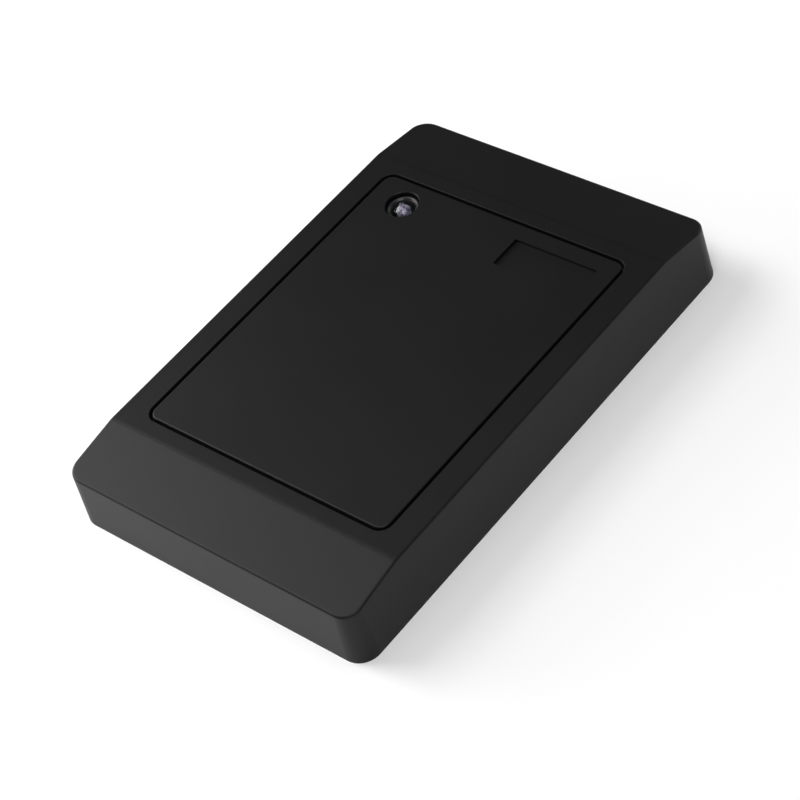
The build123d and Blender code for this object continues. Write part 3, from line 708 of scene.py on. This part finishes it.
def make_board_copper():
    """Tracks under the solder mask, and the rings of the vias, on both sides of the board."""
    top, bottom = board_high.z, board_low.z
    rise, sunk = 0.035, 0.05
    strips = [ribbon(route, 0.3, top - sunk, top + rise) for route in front_routes()]
    strips += [ribbon(route, 0.35, bottom - rise, bottom + sunk) for route in back_routes()]
    add_piece("board_tracks", joined(strips), laminate("track_mask", (0.020, 0.190, 0.075)),
              sharp=30)

    bore, ring = 0.16, 0.38
    barrel = [(bore, bottom - 0.05), (ring, bottom - 0.05), (ring, bottom + 0.02),
              (ring, top - 0.02), (ring, top + 0.05), (bore, top + 0.05)]
    spots = [route[-1] for route in back_routes()] + [via for _, via in radio_stubs()]
    vias = [lathe(barrel, spot, 20, closed=True) for spot in spots]
    add_piece("board_vias", joined(vias), tin, sharp=30)


def make_board_print():
    """White outlines printed round the larger components."""
    below, above = board_high.z - 0.02, board_high.z + 0.02
    frames = []
    for node, margin in (("microcontroller_pins", 0.5), ("reader_chip_pins", 0.5), ("crystal", 0.5),
                         ("regulator_tab", 0.6), ("wire_header", 0.4), ("diode_tabs", 0.4)):
        low, high, middle = box_of(node)
        size = (high.x - low.x + 2 * margin, high.y - low.y + 2 * margin)
        corners = rectangle((middle.x, middle.y), size)
        for a, b in zip(corners, corners[1:] + corners[:1]):
            frames.append(ribbon([a, b], 0.18, below, above))
    low, high, middle = box_of("buzzer")
    inner = (high.x - low.x) / 2 + 0.4
    outer = inner + 0.2
    circle = [(inner, below), (outer, below), (outer, above), (inner, above)]
    frames.append(lathe(circle, middle, closed=True))
    white = plain("print_white", (0.78, 0.79, 0.76), 0.6, size=0.6)
    add_piece("board_outlines", joined(frames), white, sharp=30)


def make_capacitor_marks():
    """The dark segment printed on each can's top, on its negative side."""
    top = box_of("capacitor_cans")[1].z
    marks = []
    for spot in solid_spots("capacitor_cans"):
        marks.append(prism(arc(spot, 2.7, 120, 240, 24), top - 0.01, top + 0.015))
    black = plain("print_black", (0.02, 0.02, 0.022), 0.5, size=0.4)
    add_piece("capacitor_marks", joined(marks), black, sharp=30)


def make_label_print():
    """A printed frame and blank ruled fields on the rating label."""
    low, high, middle = box_of("rating_label")
    width, height = high.x - low.x, high.y - low.y
    below, above = low.z - 0.012, low.z + 0.02
    corners = rectangle((middle.x, middle.y), (width - 2.0, height - 2.0))
    (left, bottom), (right, _) = corners[:2]
    lines = [ribbon([a, b], 0.3, below, above) for a, b in zip(corners, corners[1:] + corners[:1])]
    levels = [middle.y + share * height for share in (-0.22, 0.02, 0.26)]
    rules = [[(left, y), (right, y)] for y in levels]
    x = middle.x - 0.18 * width
    rules.append([(x, bottom), (x, levels[-1])])
    lines += [ribbon(rule, 0.2, below, above) for rule in rules]
    ink = plain("label_ink", (0.03, 0.03, 0.035), 0.5, size=0.5)
    add_piece("rating_label_lines", joined(lines), ink, sharp=30)


make_screws()
make_board_copper()
make_board_print()
make_capacitor_marks()
make_label_print()

# ---- floor, light and camera, in metres --------------------------------------------------

FLOOR_GAP = 0.00002     # keeps the floor just clear of the back of the case
LAMPS = {               # direction from the object, distance, size, power in watts
    "key": ((-0.62, -0.22, 0.75), 0.9, 0.4, 3.0),
    "left": ((-0.9, 0.0, 0.5), 0.9, 0.5, 2.6),
    "top": ((0, 0, 1), 1.0, 0.8, 2.5),
    "fill": ((0.35, -0.3, 0.9), 1.1, 0.6, 4.9),
    "back": ((0.1, 0.9, 0.4), 0.9, 0.6, 1.0),
    "low": ((-0.9, -0.4, 0.2), 0.32, 0.18, 0.48),
}


def make_floor():
    bpy.ops.mesh.primitive_plane_add(size=6.0, location=(0, 0, cad_box[0].z - FLOOR_GAP))
    floor = bpy.context.object
    floor.name = "floor"
    paint_coat = plain("floor_paint", (0.90, 0.90, 0.90), 0.8, size=300, spread=0.01,
                       Emission_Strength=0.10)
    floor.data.materials.append(paint_coat)


def make_world():
    """Pale near the horizon, dark overhead, as in a studio with a white sweep."""
    world = bpy.data.worlds.new("studio")
    bpy.context.scene.world = world
    world.use_nodes = True
    tree = world.node_tree
    direction = tree.nodes.new("ShaderNodeTexCoord").outputs["Generated"]
    split = tree.nodes.new("ShaderNodeSeparateXYZ")
    tree.links.new(direction, split.inputs[0])
    ramp = tree.nodes.new("ShaderNodeValToRGB")
    tree.links.new(split.outputs["Z"], ramp.inputs[0])
    low, high = ramp.color_ramp.elements
    low.position, low.color = 0.05, (0.80, 0.80, 0.80, 1)
    high.position, high.color = 0.45, (0.015, 0.015, 0.016, 1)
    tree.links.new(ramp.outputs["Color"], tree.nodes["Background"].inputs["Color"])
    tree.nodes["Background"].inputs["Strength"].default_value = 0.5


def softbox(name, direction, distance, size, power):
    """A square area light in that direction from the object, turned towards it."""
    lamp = bpy.data.lights.new(name, "AREA")
    lamp.size, lamp.energy = size, power
    light_object = bpy.data.objects.new(name, lamp)
    aim = Vector(direction).normalized()
    light_object.location = aim * distance
    light_object.rotation_euler = aim.to_track_quat("Z", "Y").to_euler()
    bpy.context.scene.collection.objects.link(light_object)


def make_camera():
    azimuth, elevation, roll = (math.radians(a) for a in (52.53, 44.94, -18.36))
    distance, target = 0.4962, Vector((0.00082, -0.00206, 0))
    back = Vector((math.sin(azimuth) * math.cos(elevation),
                   -math.cos(azimuth) * math.cos(elevation), math.sin(elevation)))
    right = Vector((0, 0, 1)).cross(back).normalized()
    up = back.cross(right)
    rolled_right = math.cos(roll) * right + math.sin(roll) * up
    rolled_up = math.cos(roll) * up - math.sin(roll) * right
    data = bpy.data.cameras.new("camera")
    data.sensor_width, data.lens = 36.0, 111.92
    camera = bpy.data.objects.new("camera", data)
    turn = Matrix((rolled_right, rolled_up, back)).transposed().to_4x4()
    camera.matrix_world = Matrix.Translation(target + distance * back) @ turn
    bpy.context.scene.collection.objects.link(camera)
    bpy.context.scene.camera = camera


make_floor()
make_world()
for lamp_name, lamp_values in LAMPS.items():
    softbox(lamp_name, *lamp_values)
make_camera()
bpy.context.scene.view_settings.view_transform = "Standard"
